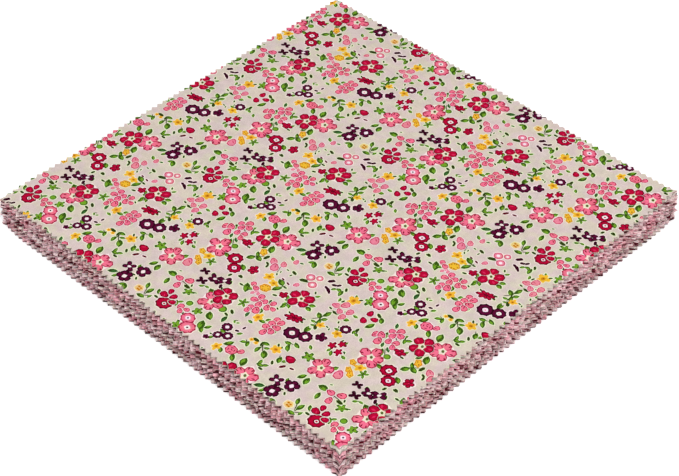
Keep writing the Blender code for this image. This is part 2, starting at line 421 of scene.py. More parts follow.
        (49.4, 60.4, 2.1, -95), (7.4, 43.7, 2.1, 100), (9.1, 41.6, 1.7, -50), (11.0, 44.4, 1.6, 20),
        (-35.2, 2.5, 1.8, 140), (-32.7, 1.4, 1.8, -20), (38.2, 26.7, 2.0, 190), (41.0, 29.0, 2.3, 80),
        (42.7, 26.9, 2.1, 0), (40.0, 24.6, 2.0, -100), (41.0, 20.6, 1.9, -80), (44.6, 21.6, 2.0, 60),
        (45.2, 18.8, 1.8, -50), (33.1, 19.6, 2.1, 80), (35.4, 21.3, 2.3, -45), (37.0, 17.2, 2.4, -80),
        (-8.6, 57.3, 2.1, 0), (-3.3, 59.3, 2.3, 30), (-5.6, 53.2, 2.1, -80), (51.6, 43.2, 1.8, 60),
    ),
    "pink_rose": ((47.3, 41.0, 3.4, 0),),
    "pink_ring": ((-18.4, 26.0, 2.6, 0), (-14.5, 28.6, 2.0, 0), (-14.0, 22.7, 2.5, 0)),
    "pink_open": (
        (-46.0, 36.3, 6.9, 100), (15.6, 57.0, 6.7, 75), (-23.4, 65.4, 6.7, 95), (42.5, 6.5, 7.0, 100),
    ),
    "pink_ruffle": ((16.0, 40.9, 4.0, 0), (20.4, 36.4, 4.5, 20)),
    "red_open": ((-55.4, 31.8, 6.6, 88), (18.0, 64.4, 6.6, 118), (-10.9, 11.6, 6.7, 110)),
    "red_ruffle": ((-51.0, 3.7, 3.9, 0), (-55.8, 8.9, 4.3, 30), (-0.5, 39.8, 4.5, 10)),
    "red_bud": (
        (-4.9, 44.0, 2.7, 175), (-4.0, 47.6, 2.1, 110), (-0.4, 45.9, 2.3, 60), (1.8, 42.9, 2.2, 20),
        (21.4, 28.2, 2.3, -80), (25.7, 26.2, 2.2, 20), (22.0, 22.4, 2.4, -40), (-38.2, 59.2, 3.1, -8),
    ),
    "red_tuft": ((-42.8, 9.4, 3.3, -52), (50.4, 18.7, 3.2, -48), (-19.0, 7.6, 2.7, -50)),
    "red_star": ((26.3, 3.2, 2.5, 80), (23.4, -0.7, 2.6, 160), (28.6, -1.9, 2.5, -60)),
    "red_cross": ((-3.4, 0.0, 5.2, 12),),
    "maroon_bar": (
        (-37.3, 53.2, 4.2, 58), (-33.0, 55.2, 3.0, 15), (-27.4, 15.4, 2.4, -8), (-23.3, 14.8, 2.7, -15),
    ),
    "plum_bar": (
        (-9.0, 31.2, 4.0, 50), (-8.2, 32.3, 2.4, -10), (-5.8, 30.2, 3.2, 25), (-3.9, 31.6, 3.0, 60),
        (-7.4, 26.2, 3.0, -15), (-5.6, 25.6, 3.6, -32), (-4.2, 24.7, 2.6, -40), (41.0, 55.6, 2.4, 85),
        (39.8, 51.9, 2.6, 20), (-30.4, 41.6, 4.4, -50), (5.0, 67.6, 3.6, 40), (10.8, 67.6, 3.4, -62),
    ),
    "plum_blob": ((15.4, -0.6, 3.3, -28), (31.8, 38.5, 1.9, -32)),
    "plum_cross": (
        (4.9, 69.3, 3.9, 8), (9.4, 71.8, 4.0, 38), (-2.8, 69.8, 2.8, 10), (1.2, 63.8, 3.0, 12),
        (-32.9, 45.0, 4.0, 0),
    ),
    "plum_open": ((-24.9, 47.3, 4.1, 100), (-29.3, 38.6, 4.3, 60)),
    "plum_ring": (
        (-50.5, 72.4, 4.5, 0), (-43.9, 75.0, 3.9, 20), (34.4, 50.3, 3.0, 0), (39.1, 46.2, 2.9, 30),
        (34.9, 43.4, 2.6, 60), (20.4, 11.7, 3.1, 0),
    ),
}


# Shapes of the print. Each motif's draw function gives (ink, outline) pairs in the order they
# are printed, about (0, 0) and not yet turned. Lengths in it are shares of the motif's size,
# and angles are in degrees.
PETAL_TAPER = 0.3
BLADE_FULLNESS = 0.7     # the lower, the fuller a leaf's ends
SPIKES = 5
SPIKE_TIP = 0.17         # half of a spike's blunt tip, as a share of the step to the next one
STEM_WIDTH = 0.6         # in millimetres


def carried(points, turn, x=0.0, y=0.0):
    """Points turned about (0, 0) and then moved by (x, y)."""
    cosine, sine = math.cos(math.radians(turn)), math.sin(math.radians(turn))
    return [(x + px * cosine - py * sine, y + px * sine + py * cosine) for px, py in points]


def outwards(length, angle):
    """The point at a length and an angle from (0, 0)."""
    return length * math.cos(math.radians(angle)), length * math.sin(math.radians(angle))


def oval(x, y, radius_x, radius_y, points=10, turn=0.0, ruffle=0.0, lobes=5):
    """An oval, its edge ruffled into lobes if asked."""
    rim = []
    for step in range(points):
        angle = math.tau * step / points
        swell = 1 + ruffle * math.cos(lobes * angle)
        rim.append((radius_x * swell * math.cos(angle), radius_y * swell * math.sin(angle)))
    return carried(rim, turn, x, y)


def petal(start, end, width, turn, points=8):
    """An egg-shaped petal that points away from the middle, widest near its outer end."""
    rim = []
    for step in range(points):
        angle = math.tau * step / points
        along = (start + end) / 2 - (end - start) / 2 * math.cos(angle)
        rim.append((along, width / 2 * math.sin(angle) * (1 - PETAL_TAPER * math.cos(angle))))
    return carried(rim, turn)


def blade(length, width, turn=0.0, x=0.0, y=0.0, points=3, bow=0.0):
    """A leaf outline, pointed at both ends, about its own middle."""
    rim = []
    for side in (-1, 1):
        for step in range(points):
            share = step / points
            along = (share - 0.5) * side * -1
            across = side * width / 2 * math.sin(math.pi * share) ** BLADE_FULLNESS
            rim.append((along * length, across + bow * length * (0.25 - along * along)))
    return carried(rim, turn, x, y)


def spikes(radius, waist, stretch, chance):
    """A star of uneven blunt spikes."""
    outline = []
    for spike in range(SPIKES):
        reach = chance.uniform(0.8, 1.12)
        for offset, share in ((-SPIKE_TIP, reach), (SPIKE_TIP, reach), (0.5, waist)):
            angle = math.tau * (spike + offset) / SPIKES
            x = radius * share * stretch * math.cos(angle)
            outline.append((x, radius * share * math.sin(angle)))
    return outline


def scaled(outline, share):
    """The outline drawn in towards its own middle."""
    middle_x = sum(x for x, y in outline) / len(outline)
    middle_y = sum(y for x, y in outline) / len(outline)
    return [(middle_x + (x - middle_x) * share, middle_y + (y - middle_y) * share) for x, y in outline]


def anticlockwise(outline):
    """The outline with its points in anticlockwise order."""
    area = 0.0
    for (x, y), (next_x, next_y) in zip(outline, outline[1:] + outline[:1]):
        area += x * next_y - next_x * y
    return outline if area > 0 else outline[::-1]


def widened(outline, margin):
    """An anticlockwise outline moved outwards by a margin."""
    wider = []
    for number, here in enumerate(outline):
        before, after = outline[number - 1], outline[(number + 1) % len(outline)]
        along = Vector((after[0] - before[0], after[1] - before[1])).normalized()
        wider.append((here[0] + margin * along.y, here[1] - margin * along.x))
    return wider


# Ovals in a motif: ink, place, radii, number of points, turn, and the depth and number of
# the ruffles
Oval = namedtuple("Oval", "ink x y long wide points turn ruffle lobes", defaults=(0, 0.0, 5))
OPEN_EYE = (
    Oval("cream", 0, 0, 0.33, 0.29, 10, 20, 0.18),
    Oval("pistil", 0.03, -0.03, 0.16, 0.12, 6, 30),
)
PLUM_EYE = (Oval("white", 0, 0, 0.32, 0.28, 8, 0, 0.1, 4),)
CROSS_EYE = (Oval("white", 0, 0, 0.28, 0.19, 8, 20, 0.1, 3),)
ROSE_BODY = (
    Oval("pink_edge", 0, 0, 1, 0.9, 14, 0, 0.06, 7),
    Oval("pink", 0, 0, 0.86, 0.76, 12, 0, 0.05, 6),
)
PINK_RING = (
    Oval("blush_edge", 0, 0, 1, 0.94, 12, 0, 0.04, 4),
    Oval("blush", 0, 0, 0.78, 0.74, 9),
    Oval("white", 0, 0, 0.4, 0.38, 8),
)
YELLOW_EYE = (
    Oval("yellow_edge", 0, 0, 0.46, 0.4, 8),
    Oval("yellow_mark", 0.05, 0, 0.2, 0.14, 5),
)
YELLOW_BODY = (
    Oval("yellow_edge", 0, 0, 1, 0.9, 14, 0, 0.09, 6),
    Oval("yellow", 0, 0, 0.8, 0.7, 9, 0, 0.06, 4),
)
YELLOW_BUD = (
    Oval("yellow_edge", 0, 0, 1, 0.72, 15, 0, 0.16),
    Oval("yellow", 0, 0, 0.78, 0.52, 10, 0, 0.12),
    Oval("yellow_mark", 0.36, 0.1, 0.24, 0.13, 5),
    Oval("yellow_mark", -0.36, -0.1, 0.2, 0.12, 5),
)
PALE_YELLOW = (
    Oval("straw", 0, 0, 1, 0.92, 15, 0, 0.08),
    *(
        Oval(ink, x, y, long, wide, points)
        for x, y in ((-0.3, 0.3), (0.35, 0.2), (-0.1, -0.35), (0.4, -0.4))
        for ink, long, wide, points in (("yellow_edge", 0.34, 0.28, 6), ("yellow_mark", 0.14, 0.12, 4))
    ),
)
ROUND_LEAF = (
    Oval("green_edge", 0, 0, 1, 0.95, 11, 0, 0.03, 4),
    Oval("green", -0.05, -0.05, 0.76, 0.7, 9),
)
# A round pale rim; its ink is the kind's own
ROUND_RIM = (Oval("", 0, 0, 0.88, 0.88, 16, 0, 0.15),)
# Turn and length of the petals of the wide red flower
BOW_PETALS = ((8, 1.0), (38, 0.8), (98, 0.5), (150, 0.8), (188, 1.05), (222, 0.8), (285, 0.5), (330, 0.75))
# Turn and place of the curled petals of the rose
ROSE_CURLS = ((20, 0.55), (110, 0.48), (200, 0.55), (290, 0.5), (70, 0.12))
OPEN_PETAL_WIDTHS = {"crimson": 0.82, "pink": 0.76}
BUD_MARKS = {"pink": "pink_mark", "crimson": "rose", "blush": "blush_edge"}
CROSS_TURNS = (38, 142, 214, 322)
SPRIG_TURNS = (0, 68, 140, 205, 300)


def ovals(size, chance, rows):
    """The ovals of a table, at a motif's size."""
    pairs = []
    for row in rows:
        place = (row.x * size, row.y * size, row.long * size, row.wide * size)
        pairs.append((row.ink, oval(*place, row.points, row.turn, row.ruffle, row.lobes)))
    return pairs


def turns(count, spread, chance):
    """Even turns round a flower, each one up to a spread off."""
    for number in range(count):
        yield number * 360 / count + chance.uniform(-spread, spread)


def petal_pair(dye, rim, share):
    """A petal: its rim, and inside it the lighter dye, drawn in to a share."""
    return [(dye + "_edge", rim), (dye, scaled(rim, share))]


def five_petals(size, chance, dye, spread, start, reach, width, share):
    """Petals that are each a little off in turn and reach."""
    pairs = []
    for turn in turns(5, spread, chance):
        rim = petal(start * size, size * chance.uniform(*reach), width * size, turn)
        pairs += petal_pair(dye, rim, share)
    return pairs


def stroke(ink, size, length, width, angle, reach):
    """A short brush stroke of a motif, pointing outwards at an angle."""
    return ink, blade(length * size, width * size, angle, *outwards(reach * size, angle), 2)


def six_strokes(ink, size, chance, spread, length, width, reach):
    """Brush strokes round a flower."""
    return [stroke(ink, size, length, width, turn, reach) for turn in turns(6, spread, chance)]


def open_bloom(size, chance, dye):
    """Five open petals round a cream eye."""
    pairs = []
    for turn in turns(5, 8, chance):
        reach = size * chance.uniform(0.94, 1.12)
        rim = petal(0.04 * size, reach, OPEN_PETAL_WIDTHS[dye] * size, turn)
        if dye == "crimson":
            pairs.append(("halo_pink", widened(anticlockwise(rim), PETAL_PARTING)))
        pairs += petal_pair(dye, rim, 0.8)
        if dye == "crimson":
            pairs.append(stroke("rose", size, 0.4, 0.2, turn + chance.uniform(-9, 9), 0.66))
        else:
            for offset, place in ((-14, 0.72), (14, 0.76)):
                lean = turn + offset + chance.uniform(-5, 5)
                pairs.append(stroke("pink_mark", size, 0.36, 0.13, lean, place))
    return pairs + ovals(size, chance, OPEN_EYE)


def ruffled_bloom(size, chance, dye):
    """A round ruffled flower with a white eye and a dot in it."""
    lean = chance.uniform(-0.08, 0.08)
    eye = 0.26 if dye == "crimson" and size > SMALL_EYED_ABOVE else 0.37
    eye_rim, dot = ("blush", "dot") if dye == "pink" else (dye + "_edge", dye)
    body = (
        Oval(dye + "_edge", 0, 0, 1, 0.92, 18, 0, 0.07, 9),
        Oval(dye, 0, 0, 0.84, 0.76, 12, 10, 0.05, 6),
    )
    middle = (
        Oval(eye_rim, lean, -lean, eye + 0.16, eye + 0.13, 8),
        Oval("white", lean, -lean, eye, 0.92 * eye, 8, 0, 0.08, 4),
        Oval(dot, lean, -lean, 0.15, 0.14, 6),
    )
    marks = six_strokes(dye + "_edge", size, chance, 14, 0.26, 0.09, 0.72)
    return ovals(size, chance, body) + marks + ovals(size, chance, middle)


def plum_ring(size, chance):
    """A plum daisy: a ruffled ring round a white eye, a large one with a dot in it."""
    large = size > EYED_ABOVE
    eye = 0.36 if large else 0.38
    rows = [
        Oval("plum_edge", 0, 0, 1, 0.94, 18, 0, 0.07, 9),
        Oval("plum", 0, 0, 0.8, 0.74, 10, 0, 0.05),
        Oval("plum_edge", 0, 0, eye + 0.1, eye + 0.08, 8),
        Oval("white", 0.02, 0, eye, 0.94 * eye, 8, 0, 0.07, 4),
    ]
    if large:
        rows.append(Oval("blush", 0.03, -0.02, 0.12, 0.1, 5))
    return ovals(size, chance, rows)


def plum_petals(size, chance):
    """Five plum petals round a white eye."""
    petals = five_petals(size, chance, "plum", 9, 0.05, (0.92, 1.1), 0.9, 0.6)
    return petals + ovals(size, chance, PLUM_EYE)


def plum_cross(size, chance):
    """Four stubby plum petals in a cross, a large one with a white eye."""
    large = size > EYED_ABOVE
    pairs = []
    for turn in CROSS_TURNS:
        reach = size * chance.uniform(0.92, 1.14)
        rim = petal(-0.1 * size, reach, 0.66 * size, turn + chance.uniform(-10, 10))
        pairs += petal_pair("plum", rim, 0.6)[: 2 if large else 1]
    return pairs + ovals(size, chance, CROSS_EYE if large else ())


def ragged(size, chance, dye, mark):
    """A little flower of uneven stubby petals."""
    petals = five_petals(size, chance, dye, 16, -0.25, (0.8, 1.16), 0.8, 0.66)
    return petals + [stroke(mark, size, 0.4, 0.2, chance.uniform(0, 180), 0.0)]


def bow_flower(size, chance, dye):
    """A wide flower of eight narrow petals, the long ones at its two sides."""
    pairs = []
    for turn, share in BOW_PETALS:
        rim = petal(0, share * size * chance.uniform(0.9, 1.1), 0.42 * size, turn)
        pairs += petal_pair(dye, rim, 0.6)
    return pairs


def bud(size, chance, dye, stretch):
    """A single egg-shaped petal with a darker mark."""
    size = stretch * size
    pairs = [
        (dye + "_edge", petal(-size, 1.05 * size, 1.56 * size, 0)),
        (dye, petal(-0.72 * size, 0.88 * size, 1.26 * size, 0, 6)),
    ]
    if size > MARKED_ABOVE:
        turn = chance.uniform(-50, 50)
        mark = blade(0.9 * size, 0.26 * size, turn, -0.15 * size, 0.12 * size, 2)
        pairs.append((BUD_MARKS[dye], mark))
    return pairs


def small_rose(size, chance):
    """A pink rose of curled petals, with no eye."""
    pairs = ovals(size, chance, ROSE_BODY)
    for turn, reach in ROSE_CURLS:
        curl = blade(0.6 * size, 0.16 * size, turn + 90, *outwards(reach * size, turn), 3, 0.5)
        pairs.append(("pink_mark", curl))
    return pairs


def yellow_bloom(size, chance):
    """A yellow flower: a small star with an orange middle, or a ruffled one with brown specks."""
    if size <= SPECKED_ABOVE:
        return [("yellow", spikes(1.15 * size, 0.62, 1.15, chance))] + ovals(size, chance, YELLOW_EYE)
    specks = six_strokes("yellow_mark", size, chance, 18, 0.36, 0.22, 0.55)
    return ovals(size, chance, YELLOW_BODY) + specks


def leaf(length, chance, dye, share):
    """A leaf with a darker rim, share being its width against its length."""
    bow = chance.uniform(-0.3, 0.3)
    lean = chance.choice((-0.12, 0.12)) * share * length
    veined = length > VEINED_ABOVE
    rim = blade(1.1 * length, share * length, bow=bow, points=4 if veined else 3)
    inner = blade(0.74 * length, 0.5 * share * length, 0, 0.04 * length, lean, 3, bow)
    pairs = [(dye + "_edge", rim), (dye, inner)]
    if veined:
        turn = chance.uniform(-14, 14)
        vein = blade(0.5 * length, 0.13 * length, turn, -0.2 * length, 0.4 * lean, 2)
        pairs.append(("olive", vein))
    return pairs


def jagged_leaf(size, chance):
    """A leaf of five uneven points."""
    return [
        ("green_edge", spikes(size, 0.5, 1.15, chance)),
        ("green", spikes(0.72 * size, 0.6, 1.1, chance)),
        ("olive", blade(0.8 * size, 0.26 * size, 20, 0.1 * size, -0.1 * size, 2)),
        ("maroon", blade(0.5 * size, 0.2 * size, 110, 0.5 * size, 0.3 * size, 2)),
    ]


def sprig(size, chance):
    """Five slim leaves from one point."""
    pairs = []
    for turn in SPRIG_TURNS:
        place = outwards(0.5 * size, turn)
        pairs.append(("green_edge", blade(1.1 * size, 0.46 * size, turn, *place, 3)))
        pairs.append(("green", blade(0.8 * size, 0.24 * size, turn, *place, 2)))
    return pairs


def star(size, chance, dye):
    """A jagged little star."""
    return [
        (dye + "_edge", spikes(size, 0.56, 1.1, chance)),
        (dye, spikes(0.66 * size, 0.6, 1.1, chance)),
    ]


def bar(size, chance, dye, stretch, share):
    """A short brush stroke, share being its width against its length."""
    length = stretch * size
    return [(dye, oval(0, 0, 0.5 * length, 0.5 * share * length, 6))]


def stem(size, chance):
    """A thin stem of the charted length."""
    return bar(size, chance, "olive", 1, STEM_WIDTH / size)


# How each kind of the chart is drawn: its draw function, the ink of its pale rim, the draw
# function's settings, and what the rim follows. A rim follows the motif's outline, each of its
# petals, or a round outline. A parting rim is printed over the motifs before it.
Kind = namedtuple("Kind", "draw halo settings rim", defaults=((), "outline"))
KINDS = {
    "stem": Kind(stem, None),
    "dash": Kind(bar, "halo_green", ("olive", 1.05, 0.5)),
    "leaf": Kind(leaf, "halo_green", ("green", 0.54)),
    "teal_leaf": Kind(leaf, "halo_green", ("teal", 0.5)),
    "broad_leaf": Kind(leaf, "halo_green", ("green", 0.66)),
    "jagged_leaf": Kind(jagged_leaf, "halo_green"),
    "round_leaf": Kind(ovals, "halo_green", (ROUND_LEAF,)),
    "sprig": Kind(sprig, "halo_green", (), "petals"),
    "yellow": Kind(yellow_bloom, "halo_yellow"),
    "yellow_bud": Kind(ovals, "halo_yellow", (YELLOW_BUD,)),
    "pale_yellow": Kind(ovals, "halo_yellow", (PALE_YELLOW,)),
    "blush_bud": Kind(bud, "halo_pink", ("blush", 1.12), "parting"),
    "pink_bud": Kind(bud, "halo_pink", ("pink", 1.16), "parting"),
    "pink_rose": Kind(small_rose, "halo_pink"),
    "pink_ring": Kind(ovals, "halo_pink", (PINK_RING,)),
    "pink_open": Kind(open_bloom, "halo_pink", ("pink",), "round"),
    "pink_ruffle": Kind(ruffled_bloom, "halo_pink", ("pink",)),
    "red_open": Kind(open_bloom, "halo_pink", ("crimson",), "round"),
    "red_ruffle": Kind(ruffled_bloom, "halo_pink", ("crimson",)),
    "red_bud": Kind(bud, "halo_pink", ("crimson", 1), "parting"),
    "red_star": Kind(star, "halo_pink", ("crimson",)),
    "red_tuft": Kind(ragged, "halo_pink", ("crimson", "rose"), "round"),
    "red_cross": Kind(bow_flower, "halo_pink", ("crimson",), "petals"),
    "maroon_bar": Kind(bar, "halo_pink", ("maroon", 1, 0.45)),
    "plum_bar": Kind(bar, "halo_pink", ("plum_edge", 1.05, 0.56)),
    "plum_blob": Kind(ragged, "halo_pink", ("plum", "plum_edge"), "round"),
    "plum_cross": Kind(plum_cross, "halo_pink"),
    "plum_open": Kind(plum_petals, "halo_pink", (), "round"),
    "plum_ring": Kind(plum_ring, "halo_pink"),
}


def followed(kind, size, drawn):
    """The outlines that a motif's pale rim follows."""
    if kind.halo is None:
        return []
    if kind.rim == "round":
        drawn = ovals(size, None, ROUND_RIM)
    elif kind.rim == "petals":
        drawn = [pair for pair in drawn if pair[0].endswith("_edge")]
    else:
        drawn = drawn[:1]
    return [outline for _, outline in drawn]


def one_repeat():
    """The halos and then the inks of one repeat, as (ink, outline) pairs in print order."""
    halos, prints = [], []
    chance = random.Random(PRINT_SEED)
    for name, places in CHART.items():
        kind = KINDS[name]
        parting = kind.rim == "parting"
        for x, y, size, turn in places:
            drawn = kind.draw(size, chance, *kind.settings)
            for outline in followed(kind, size, drawn):
                placed = anticlockwise(carried(outline, turn, x, y))
                rim = widened(placed, PARTING_HALO if parting else HALO)
                (prints if parting else halos).append((kind.halo, rim))
            prints += [(ink, anticlockwise(carried(outline, turn, x, y))) for ink, outline in drawn]
    return halos + prints


def drifted(x, y):
    """Where a point of the print lies on cloth that is a little out of true."""
    across, along = x / DRIFT_UNIT, y / DRIFT_UNIT
    terms = (across, along, across * across, across * along, along * along)
    move_x = PRINT_SHIFT[0] + sum(share * term for share, term in zip(DRIFT_X, terms))
    move_y = PRINT_SHIFT[1] + sum(share * term for share, term in zip(DRIFT_Y, terms))
    return x + move_x, y + move_y


def printed_outlines(limit):
    """Every printed outline that reaches the square, from all the repeats that cover it."""
    (side_x, side_y), (row_x, row_y) = REPEAT_STEPS
    steps = range(-REPEAT_REACH, REPEAT_REACH + 1)
    shifts = [(i * side_x + j * row_x, i * side_y + j * row_y) for i in steps for j in steps]
    found = []
    for ink, outline in one_repeat():
        for shift_x, shift_y in shifts:
            placed = [drifted(x + shift_x, y + shift_y) for x, y in outline]
            if any(abs(x) < limit and abs(y) < limit for x, y in placed):
                found.append((ink, placed))
    return found


# The squares' own form
def corner_tips(node):
    """The corner points of a node: left, front, right and far."""
    points = np.array([vertex.co[:2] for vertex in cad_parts[node].data.vertices]) / MM
    total = points[:, 0] + points[:, 1]
    slant = points[:, 0] - points[:, 1]
    return points[[total.argmin(), slant.argmax(), total.argmax(), slant.argmin()]]


NODE_TIPS = np.array([corner_tips(name) for name in NODES])


def wander(chance, reach):
    """A smooth uneven drift along a side, of a few waves, up to about reach either way."""
    waves = [(chance.uniform(*WANDER_TURNS), chance.uniform(0, math.tau)) for _ in range(WANDER_WAVES)]

    def at(along):
        total = sum(np.sin(math.tau * turns * along / SIDE + start) for turns, start in waves)
        fade = np.clip(np.minimum(along, SIDE - along) / WANDER_FADE, 0, 1)
        return reach * total * fade / math.sqrt(WANDER_WAVES)

    return at


def pinked_side(phase, chance, wear):
    """One side as (distance along, depth) from its first corner point up to the next one."""
    first = CORNER_REACH + phase * PITCH
    points = [(0.0, 0.0), (first, first * CORNER_SLOPE)]
    for tooth in range(TEETH_PER_SIDE):
        start = first + tooth * PITCH
        points.append((start + PITCH / 2 + chance.gauss(0, wear), abs(chance.gauss(0, wear))))
        points.append((start + PITCH, TOOTH_DEPTH + chance.gauss(0, wear)))
    last = first + TEETH_PER_SIDE * PITCH
    points[-1] = (last, (SIDE - last) * CORNER_SLOPE)
    points.append((SIDE, 0.0))
    finer = []
    for here, after in zip(points, points[1:]):
        finer.append(here)
        finer.append(((here[0] + after[0]) / 2, (here[1] + after[1]) / 2))
    return np.array(finer)


def side_place(quarter, along, depth):
    """Where a point of one of the four sides lies on the flat square, from 0 to SIDE."""
    return (
        (along, depth),
        (SIDE - depth, along),
        (SIDE - along, SIDE - depth),
        (depth, SIDE - along),
    )[quarter]


def flat_ring(sides, depth=None):
    """One closed ring of points: the pinked outline, or a straight ring at a depth inside it."""
    ring = []
    for quarter, side in enumerate(sides):
        along, inward = side[:, 0], side[:, 1]
        if depth is not None:
            along = depth + along * (SIDE - 2 * depth) / SIDE
            inward = np.full(len(along), depth)
        ring.append(np.column_stack(side_place(quarter, along, inward)))
    return np.concatenate(ring)


def onto_tips(flat, tips):
    """Points of the flat square carried to where its four corner points lie."""
    share_x, share_y = flat[:, :1] / SIDE, flat[:, 1:] / SIDE
    return (
        tips[0] * (1 - share_x) * (1 - share_y)
        + tips[1] * share_x * (1 - share_y)
        + tips[2] * share_x * share_y
        + tips[3] * (1 - share_x) * share_y
    )


def starts_bundle(square):
    """Whether a square is the lowest one of its bundle."""
    return square == 0 or BUNDLE_OF[square] != BUNDLE_OF[square - 1]


def runs():
    """The number of the short run that each square is in: squares of one print."""
    numbers = [0]
    for square in range(1, SQUARES):
        full = numbers[-RUN_LENGTH:] == [numbers[-1]] * RUN_LENGTH
        numbers.append(numbers[-1] + 1 if full or starts_bundle(square) else numbers[-1])
    return numbers


RUN_OF = runs()


def painted_floor_shade_of(square):
    """How light a square's cut edge is painted: the lowest squares get painted contact shade."""
    return FLOOR_PAINTED_SHADES[square] if square < len(FLOOR_PAINTED_SHADES) else 1.0


def painted_light_and_shade_of(square, notched):
    """The painted light and shade on a square's streaks, for each share of the way into a notch."""
    if square == SQUARES - 1 or starts_bundle(square + 1):
        return np.full(len(notched), RIM_PAINTED_LIGHT)
    for above, lean in enumerate(NOTCH_PAINTED_SHADES):
        if starts_bundle(square - above):
            return lean * notched
    return np.zeros(len(notched))


def tips_of(square, chance):
    """Corner points of one square, read between the nodes below and above it."""
    place = min(max((square + 0.5) / SQUARES_PER_NODE - 0.5, 0), len(NODES) - 1)
    low = min(int(place), len(NODES) - 2)
    share = place - low
    tips = NODE_TIPS[low] * (1 - share) + NODE_TIPS[low + 1] * share
    if square < SQUARES - 1:
        slips = [(chance.gauss(0, CORNER_SLIP), chance.gauss(0, CORNER_SLIP)) for _ in range(4)]
        tips = tips + CORNER_SIGNS * BUNDLES[BUNDLE_OF[square]].proud
        tips = tips + np.array(slips)
    return tips


def near_corners(points):
    """For each point, how much each corner's change applies to it."""
    shares = []
    for tip, corner in zip(PILE_TIPS, CORNERS):
        away = np.linalg.norm(points - tip, axis=1) / corner.reach
        shares.append(np.clip(1 - away, 0, 1) ** 2)
    return np.stack(shares, axis=1)


def pulled(points, square):
    """The points with the worn corners pulled in and the cut edges bowed."""
    pulls = np.array([(corner.pull_x, corner.pull_y) for corner in CORNERS])
    pulls = pulls * (1 - (1 - TOP_PULL) * square / (SQUARES - 1))
    moved = points + near_corners(points) @ pulls
    half = SIDE / 2
    x, y = points[:, 0], points[:, 1]
    for bow in EDGE_BOWS:
        along = x * bow.inwards_y - y * bow.inwards_x
        inside = half + x * bow.inwards_x + y * bow.inwards_y
        depth = np.interp(along, np.linspace(-half, half, len(bow.depths)), bow.depths)
        share = np.clip(1 - inside / BOW_REACH, 0, 1)
        moved = moved + (depth * share)[:, None] * np.array((bow.inwards_x, bow.inwards_y))
    return moved


def tucked(points):
    """The top square's outline with its front tip drawn back."""
    away = np.linalg.norm(points - PILE_TIPS[1], axis=1) / TUCK_REACH
    return points + np.clip(1 - away, 0, 1)[:, None] * np.array(TUCK)


def gap_weights():
    """For the gap under every square, a small map of how open it is at each place."""
    spread = np.random.default_rng(GAP_SEED)
    weights = np.exp(spread.normal(0, UNEVEN, (SQUARES, LOOSE_CELLS, LOOSE_CELLS)))
    for square in range(SQUARES):
        weights[square] *= BUNDLES[BUNDLE_OF[square]].loose if starts_bundle(square) else TIGHT_GAP
    weights[0] = 0
    return weights


GAP_WEIGHTS = gap_weights()


def undersides(points, square):
    """Height of a square's underside at each point."""
    cells = np.clip(points / LOOSE_CELL + LOOSE_CELLS / 2, 0, LAST_CELL)
    low = cells.astype(int)
    share = cells - low
    at = [GAP_WEIGHTS[:, low[:, 0] + dx, low[:, 1] + dy] for dx, dy in ((0, 0), (1, 0), (0, 1), (1, 1))]
    x, y = share[:, 0], share[:, 1]
    loose = at[0] * (1 - x) * (1 - y) + at[1] * x * (1 - y) + at[2] * (1 - x) * y + at[3] * x * y
    inside = SIDE / 2 - np.abs(points).max(axis=1)
    edge = np.clip(1 - inside / LOOSE_REACH, 0, 1)
    edge = edge * edge * (3 - 2 * edge)
    weights = 1 + edge * (loose - 1)
    weights[0] = 0
    total = weights.sum(axis=0)
    lower = near_corners(points) @ np.array([corner.lower for corner in CORNERS])
    air = HEIGHT - SQUARES * CLOTH - lower
    return square * CLOTH + air * weights[: square + 1].sum(axis=0) / total


def ripple(points):
    """The slight unevenness of the top square, which lies loose on the others."""
    x, y = points[:, 0], points[:, 1]
    crossed = np.sin(x / CROSSED_X + CROSSED_START_X) * np.sin(y / CROSSED_Y + CROSSED_START_Y)
    return CROSSED_HEIGHT * crossed + SLANTED_HEIGHT * np.sin((x + y) / SLANTED_LENGTH) + RIPPLE_LIFT


# The pieces
def new_object(name, data):
    """An object in the scene."""
    thing = bpy.data.objects.new(name, data)
    bpy.context.scene.collection.objects.link(thing)
    return thing


def mesh_object(name, points, faces, materials, material_index):
    """A mesh in metres from points in millimetres."""
    mesh = bpy.data.meshes.new(name)
    mesh.from_pydata((points * MM).tolist(), [], faces)
    for material in materials:
        mesh.materials.append(material)
    mesh.polygons.foreach_set("material_index", material_index)
    mesh.update()
    return new_object(name, mesh)


def mark(piece, name, values):
    """Write a value, or one for each point, on a piece for its materials to read."""
    attribute = piece.data.attributes.new(name, "FLOAT", "POINT")
    attribute.data.foreach_set("value", np.full(len(piece.data.vertices), values, float))


def uneven_sides(square, chance):
    """A plain square's four sides, and how deep each of their points lies in the teeth.

    They wander as the other squares of the bundle do, and a little on their own.
    """
    bundle = BUNDLES[BUNDLE_OF[square]]
    together = random.Random(BUNDLE_OF[square])
    sides, depths = [], []
    for phase in (bundle.phase_front_left, bundle.phase_front_right) * 2:
        side = pinked_side(phase + chance.gauss(0, PHASE_WANDER), chance, TOOTH_WEAR)
        depths.append(side[:, 1].copy())
        in_out = wander(together, BUNDLE_WANDER)(side[:, 0]) + wander(chance, SQUARE_WANDER)(side[:, 0])
        side[:, 0] += wander(together, BUNDLE_SLIP)(side[:, 0])
        side[:, 1] += in_out
        sides.append(side)
    return sides, np.concatenate(depths)


def ringed_faces(rings, count):
    """Faces of a closed sheet with rings of points inside its outline, and of its cut edge."""
    total = rings * count
    index = np.arange(count)
    after = (index + 1) % count
    faces = []
    for ring in range(rings - 1):
        a, b = ring * count + index, ring * count + after
        c, d = b + count, a + count
        faces += np.stack([a + total, b + total, c + total, d + total], axis=1).tolist()
        faces += np.stack([d, c, b, a], axis=1).tolist()
    inner = (rings - 1) * count + index
    faces.append((inner + total).tolist())
    faces.append(inner[::-1].tolist())
    return faces, np.stack([index, after, after + total, index + total], axis=1).tolist()


